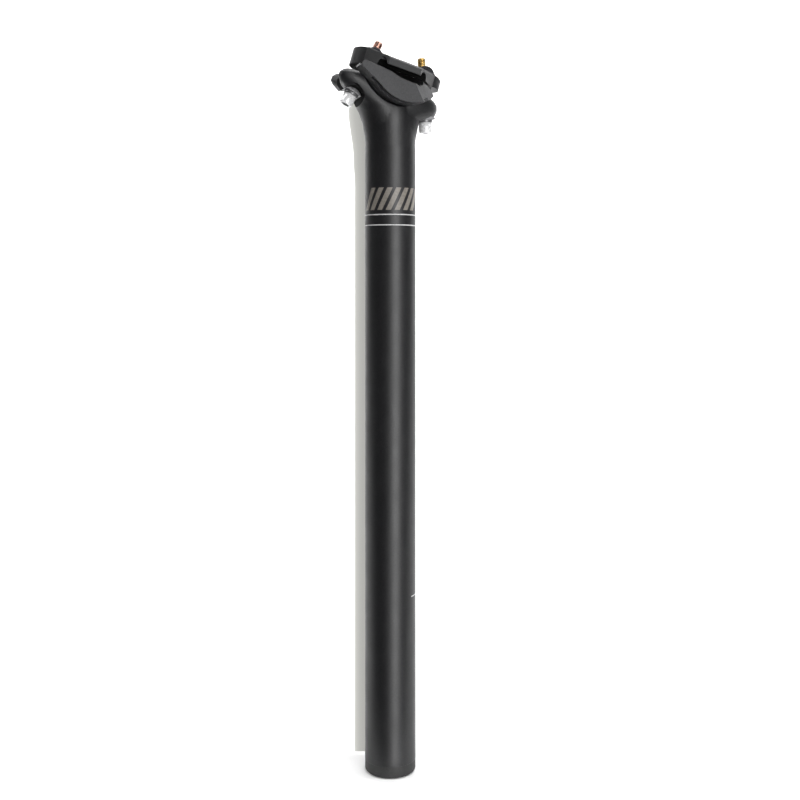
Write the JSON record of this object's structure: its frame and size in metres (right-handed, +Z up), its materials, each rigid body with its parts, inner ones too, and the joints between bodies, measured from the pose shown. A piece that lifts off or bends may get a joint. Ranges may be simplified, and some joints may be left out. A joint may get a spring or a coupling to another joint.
{
  "type": "seatpost",
  "caption": "Bicycle seatpost: one-piece tube and forged head, rocking cradle and upper rail clamp, set by a tilt bolt at the front and one at the rear.",
  "frame": {"origin": "centre of the tube's lower end, on the tube's axis", "axes": "+Z up the tube, +X to the front of the bicycle, +Y to the rider's left; the rails run along X, nose down 16 degrees"},
  "size_m": [0.0587, 0.0526, 0.3901],
  "materials": {
    "anodised_black": "sandblasted and anodised, fine grain",
    "cradle_black": "sandblasted and anodised",
    "clamp_black": "sandblasted and anodised",
    "plug_black": "matte",
    "nut_black": "black oxide",
    "washer_steel": "plated",
    "bolt_copper": "plated, copper-coloured thread",
    "bolt_brass": "plated, brass-coloured thread"
  },
  "bodies": {
    "post": {"post": "anodised_black", "end_plug": "plug_black"},
    "rail_clamp": {"lower_cradle": "cradle_black", "upper_clamp": "clamp_black"},
    "rear_seat": {"rear_seat_washer": "washer_steel", "rear_flat_washer": "washer_steel"},
    "front_seat": {"front_seat_washer": "washer_steel", "front_flat_washer": "washer_steel"},
    "rear_bolt": {"rear_bolt": "bolt_copper"},
    "front_bolt": {"front_bolt": "bolt_brass"},
    "rear_nut": {"rear_barrel_nut": "nut_black"},
    "front_nut": {"front_barrel_nut": "nut_black"}
  },
  "joints": [
    {"name": "saddle_tilt", "type": "hinge", "parent": "post", "child": "rail_clamp", "pos_m": [0.004, 0, 0.3715], "axis": [0, 1, 0], "range_deg": [-8, 8]},
    {"name": "rear_seat_swing", "type": "hinge", "parent": "post", "child": "rear_seat", "pos_m": [-0.02374, 0, 0.35168], "axis": [0, 1, 0], "range_deg": [-3, 3]},
    {"name": "rear_bolt_spin", "type": "hinge", "parent": "rear_seat", "child": "rear_bolt", "pos_m": [-0.02374, 0, 0.35168], "axis": [0.4902, 0, 0.8716], "range_deg": [-1000, 1000]},
    {"name": "rear_nut_swivel", "type": "hinge", "parent": "rail_clamp", "child": "rear_nut", "pos_m": [-0.01079, 0, 0.3747], "axis": [0, 1, 0], "range_deg": [-11, 11]},
    {"name": "front_seat_swing", "type": "hinge", "parent": "post", "child": "front_seat", "pos_m": [0.0199, 0, 0.33844], "axis": [0, 1, 0], "range_deg": [-3, 3]},
    {"name": "front_bolt_spin", "type": "hinge", "parent": "front_seat", "child": "front_bolt", "pos_m": [0.0199, 0, 0.33844], "axis": [-0.0594, 0, 0.9982], "range_deg": [-1000, 1000]},
    {"name": "front_nut_swivel", "type": "hinge", "parent": "rail_clamp", "child": "front_nut", "pos_m": [0.01824, 0, 0.36638], "axis": [0, 1, 0], "range_deg": [-11, 11]}
  ],
  "couplings": [
    {"joint": "rear_seat_swing", "follows": "saddle_tilt", "ratio": -0.1708},
    {"joint": "rear_nut_swivel", "follows": "saddle_tilt", "ratio": -1.1708},
    {"joint": "rear_bolt_spin", "follows": "saddle_tilt", "ratio": -113.21},
    {"joint": "front_seat_swing", "follows": "saddle_tilt", "ratio": -0.2143},
    {"joint": "front_nut_swivel", "follows": "saddle_tilt", "ratio": -1.2143},
    {"joint": "front_bolt_spin", "follows": "saddle_tilt", "ratio": 108.85}
  ]
}
